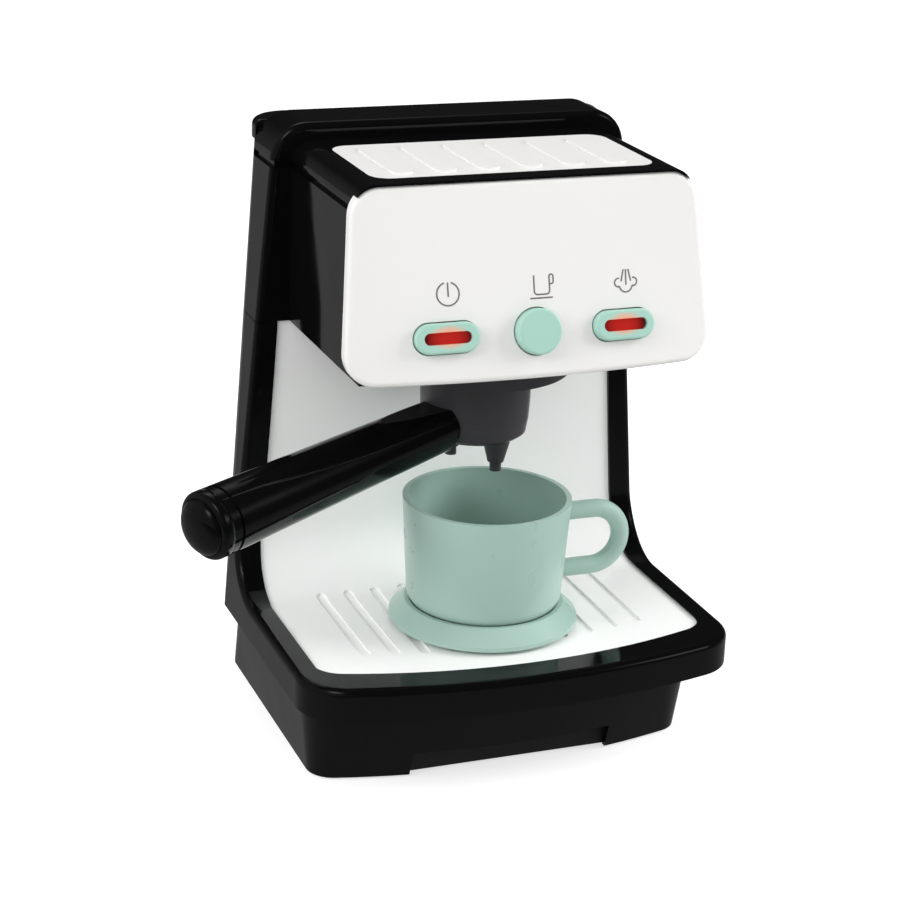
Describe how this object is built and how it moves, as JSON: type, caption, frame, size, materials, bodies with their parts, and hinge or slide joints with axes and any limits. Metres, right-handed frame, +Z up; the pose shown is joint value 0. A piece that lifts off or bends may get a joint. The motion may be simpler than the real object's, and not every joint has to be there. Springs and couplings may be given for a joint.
{
  "type": "toy coffee maker",
  "caption": "Toy espresso machine with a sloping button panel, a turning filter holder with a long handle, a drip deck, and a cup on a saucer.",
  "frame": {"origin": "centre of the underside, on the surface that the feet stand on, midway between the sides", "axes": "+Z up, -Y towards the front with the buttons, +X to the right seen from the front"},
  "size_m": [0.2398, 0.1715, 0.261],
  "materials": {
    "gloss_black": "polished",
    "gloss_white": "polished",
    "rack_grey": "satin",
    "mint": "satin",
    "red_lens": "polished",
    "dark_grey": "satin",
    "matte_black": "matte",
    "steel": "satin",
    "rubber": "matte",
    "cell_jacket": "satin",
    "board_green": "satin",
    "lamp_red": "polished",
    "tank_grey": "satin"
  },
  "bodies": {
    "frame": {"lower_body": "gloss_black", "deck_panel": "gloss_white", "bottom_cover": "matte_black", "battery_door": "matte_black", "door_screw": "steel", "rubber_feet": "rubber", "bottom_screws": "steel", "battery_cells": "cell_jacket", "battery_contacts": "steel", "speaker": "matte_black", "head_housing": "gloss_black", "top_cover": "gloss_black", "cup_rack": "rack_grey", "control_panel": "gloss_white", "circuit_board": "board_green", "board_screws": "steel", "switches": "matte_black", "leds": "lamp_red", "brew_collar": "dark_grey", "collar_screws": "steel", "rear_cover": "gloss_black"},
    "power_button": {"power_button": "mint", "power_lens": "red_lens"},
    "steam_button": {"steam_button": "mint", "steam_lens": "red_lens"},
    "brew_button": {"brew_button": "mint"},
    "holder": {"filter_holder": "dark_grey", "filter_basket": "steel", "holder_handle": "gloss_black", "handle_cap": "gloss_black"},
    "tank": {"water_tank": "tank_grey"},
    "tank_lid": {"tank_lid": "gloss_black"},
    "saucer": {"saucer": "mint"},
    "cup": {"cup": "mint"}
  },
  "joints": [
    {"name": "power_press", "type": "slide", "parent": "frame", "child": "power_button", "axis": [0.0654, 0.9649, -0.2544], "range_m": [0, 0.002], "stiffness_N_per_m": 600, "springref_m": -0.002},
    {"name": "steam_press", "type": "slide", "parent": "frame", "child": "steam_button", "axis": [-0.0654, 0.9649, -0.2544], "range_m": [0, 0.002], "stiffness_N_per_m": 600, "springref_m": -0.002},
    {"name": "brew_press", "type": "slide", "parent": "frame", "child": "brew_button", "axis": [0, 0.9669, -0.255], "range_m": [0, 0.002], "stiffness_N_per_m": 600, "springref_m": -0.002},
    {"name": "holder_turn", "type": "hinge", "parent": "frame", "child": "holder", "pos_m": [0, -0.0133, 0.15], "axis": [0, 0, 1], "range_deg": [0, 60]},
    {"name": "tank_lift", "type": "slide", "parent": "frame", "child": "tank", "axis": [0, 0, 1], "range_m": [0, 0.06]},
    {"name": "tank_lid_lift", "type": "slide", "parent": "tank", "child": "tank_lid", "axis": [0, 0, 1], "range_m": [0, 0.025]},
    {"name": "saucer_slide", "type": "slide", "parent": "frame", "child": "saucer", "axis": [0, -1, 0], "range_m": [0, 0.01]},
    {"name": "cup_lift", "type": "slide", "parent": "saucer", "child": "cup", "axis": [0, 0, 1], "range_m": [0, 0.006]}
  ]
}
